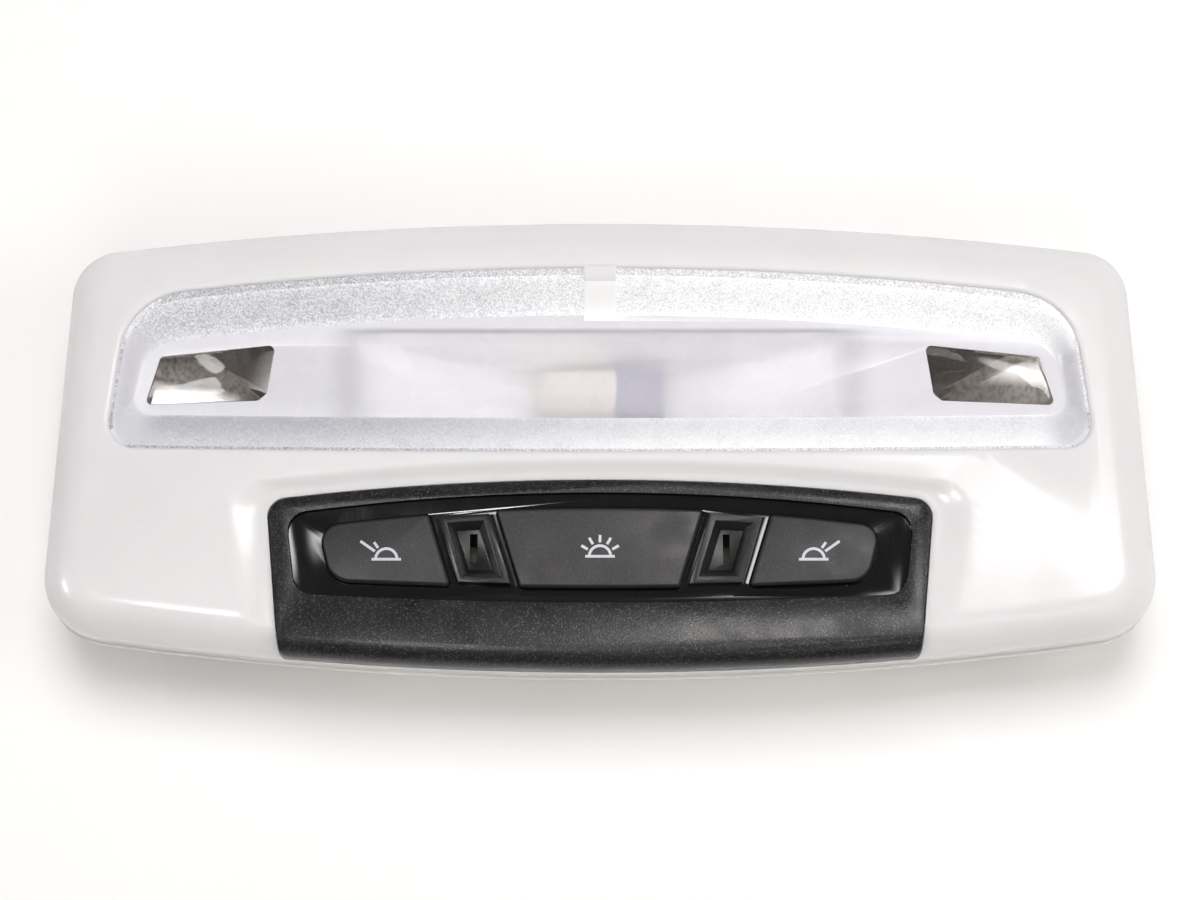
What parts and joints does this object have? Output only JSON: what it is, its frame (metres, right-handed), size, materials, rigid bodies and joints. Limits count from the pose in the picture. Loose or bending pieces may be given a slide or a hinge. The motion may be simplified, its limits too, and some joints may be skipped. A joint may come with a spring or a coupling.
{
  "type": "car dome light",
  "caption": "Overhead car lamp: opal lens with a recessed trough and clear reading windows, over a tray of reflectors and bulbs, with a black switch panel of push buttons.",
  "frame": {"origin": "middle of the lamp's box, on the plane of the rear ribs that it lies on", "axes": "+X along the lamp to the right of the picture, +Y to the edge away from the switches, +Z out of the lens"},
  "size_m": [0.1908, 0.0798, 0.0318],
  "materials": {
    "opal_lens": "milky translucent, satin gloss",
    "clear_window": "clear polished plastic",
    "tray_plastic": "fine matt moulding",
    "white_reflector": "glossy white",
    "metallised": "metallised plastic",
    "holder_plastic": "matt nylon",
    "bulb_glass": "clear glass",
    "filament_wire": "drawn wire",
    "lead_brass": "stamped strip",
    "bezel_black": "fine spark-eroded grain, gloss in the well",
    "funnel_black": "semi-gloss",
    "button_black": "satin paint with printed symbols",
    "switch_plastic": "moulded",
    "plunger_plastic": "moulded",
    "spring_steel": "coiled wire",
    "board_green": "solder mask",
    "led_body": "moulded",
    "connector_plastic": "moulded",
    "pin_metal": "tinned",
    "screw_steel": "zinc plated",
    "clip_steel": "spring strip"
  },
  "bodies": {
    "lamp": {"lens_cover": "opal_lens", "reading_window_left": "clear_window", "reading_window_right": "clear_window", "housing": "tray_plastic", "dome_reflector": "white_reflector", "reading_reflector_left": "metallised", "reading_reflector_right": "metallised", "lamp_holder_dome": "holder_plastic", "lamp_holder_left": "holder_plastic", "lamp_holder_right": "holder_plastic", "bulb_dome": "bulb_glass", "bulb_left": "bulb_glass", "bulb_right": "bulb_glass", "filament_dome": "filament_wire", "filament_left": "filament_wire", "filament_right": "filament_wire", "lead_common": "lead_brass", "lead_dome": "lead_brass", "lead_reading_left": "lead_brass", "lead_reading_right": "lead_brass", "switch_bezel": "bezel_black", "light_funnel_left": "funnel_black", "light_funnel_right": "funnel_black", "switch_case_left": "switch_plastic", "switch_case_centre": "switch_plastic", "switch_case_right": "switch_plastic", "return_spring_left": "spring_steel", "return_spring_centre": "spring_steel", "return_spring_right": "spring_steel", "switch_board": "board_green", "ambient_led_left": "led_body", "ambient_led_right": "led_body", "connector_header": "connector_plastic", "connector_pins": "pin_metal", "bezel_screws": "screw_steel", "spring_clip_far_left": "clip_steel", "spring_clip_far_right": "clip_steel", "spring_clip_near_left": "clip_steel", "spring_clip_near_right": "clip_steel"},
    "button_left_moving": {"button_left": "button_black", "switch_plunger_left": "plunger_plastic"},
    "button_centre_moving": {"button_centre": "button_black", "switch_plunger_centre": "plunger_plastic"},
    "button_right_moving": {"button_right": "button_black", "switch_plunger_right": "plunger_plastic"}
  },
  "joints": [
    {"name": "button_left_press", "type": "slide", "parent": "lamp", "child": "button_left_moving", "axis": [0, 0, -1], "range_m": [0, 0.001], "stiffness_N_per_m": 1500, "springref_m": -0.001, "deforming": ["return_spring_left"]},
    {"name": "button_centre_press", "type": "slide", "parent": "lamp", "child": "button_centre_moving", "axis": [0, 0, -1], "range_m": [0, 0.001], "stiffness_N_per_m": 1500, "springref_m": -0.001, "deforming": ["return_spring_centre"]},
    {"name": "button_right_press", "type": "slide", "parent": "lamp", "child": "button_right_moving", "axis": [0, 0, -1], "range_m": [0, 0.001], "stiffness_N_per_m": 1500, "springref_m": -0.001, "deforming": ["return_spring_right"]}
  ]
}
